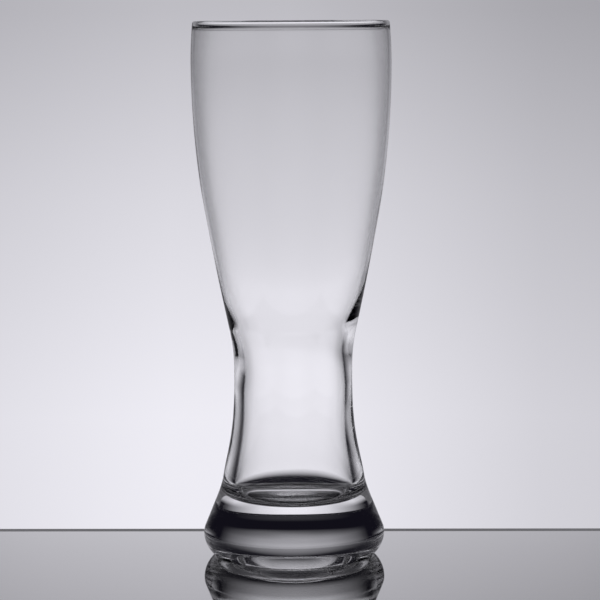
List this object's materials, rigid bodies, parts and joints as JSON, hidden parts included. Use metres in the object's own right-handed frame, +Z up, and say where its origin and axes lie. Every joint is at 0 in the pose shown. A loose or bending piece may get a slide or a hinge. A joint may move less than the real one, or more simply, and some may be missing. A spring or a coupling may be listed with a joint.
{
  "type": "pilsner glass",
  "caption": "Tall clear pilsner glass: a rounded bowl with a rolled rim narrows to a thick-walled waist and stands on a heavy flared foot, dished underneath.",
  "frame": {"origin": "centre of the foot, on the surface that the glass stands on", "axes": "+Z up along the axis of revolution, towards the rim"},
  "size_m": [0.0874, 0.0874, 0.235],
  "materials": {
    "clear_glass": "clear, fire polished"
  },
  "bodies": {
    "root": {"glass": "clear_glass"}
  },
  "joints": []
}
